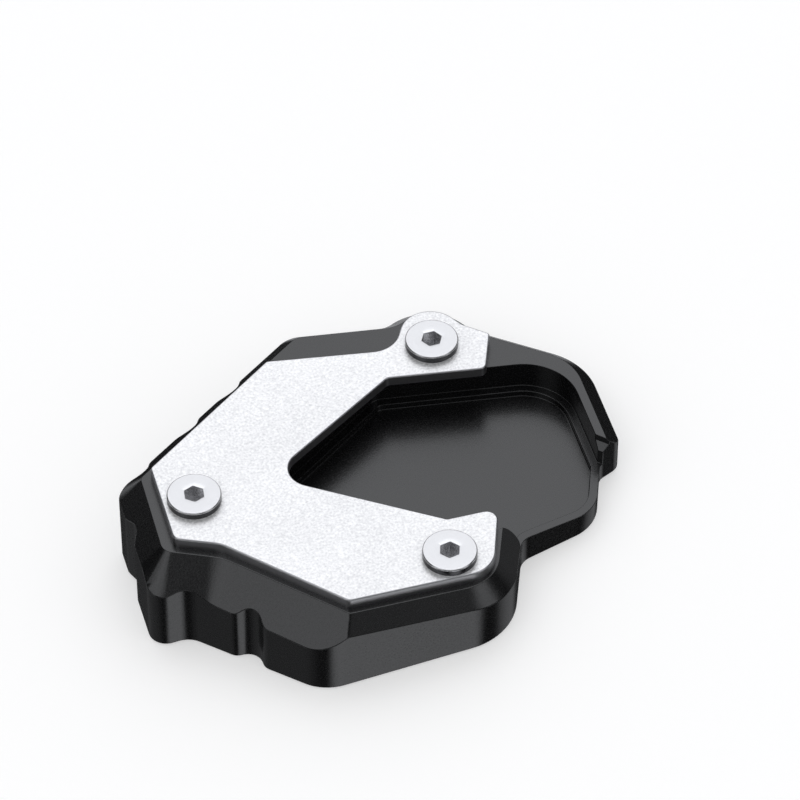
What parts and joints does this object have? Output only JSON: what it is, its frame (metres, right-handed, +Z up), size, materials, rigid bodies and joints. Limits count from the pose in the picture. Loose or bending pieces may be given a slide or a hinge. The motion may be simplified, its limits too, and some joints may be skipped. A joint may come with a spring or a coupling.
{
  "type": "kickstand foot enlarger",
  "caption": "Wedge-shaped foot enlarger for a motorcycle side stand: bevelled base with a foot pocket, notched clamp plate and low socket screws.",
  "frame": {"origin": "on the ground, under the middle of the whole part's box", "axes": "+X along the front wall towards the open end of the pocket, +Y away from the front wall, +Z up from the ground"},
  "size_m": [0.1352, 0.1092, 0.032],
  "materials": {
    "black_anodised": "satin black anodised, fine grain",
    "blasted_aluminium": "bead-blasted, natural",
    "screw_steel": "turned stainless steel"
  },
  "bodies": {
    "root": {"base": "black_anodised", "clamp_plate": "blasted_aluminium", "clamp_screw_front": "screw_steel", "clamp_screw_left": "screw_steel", "clamp_screw_back": "screw_steel"}
  },
  "joints": []
}
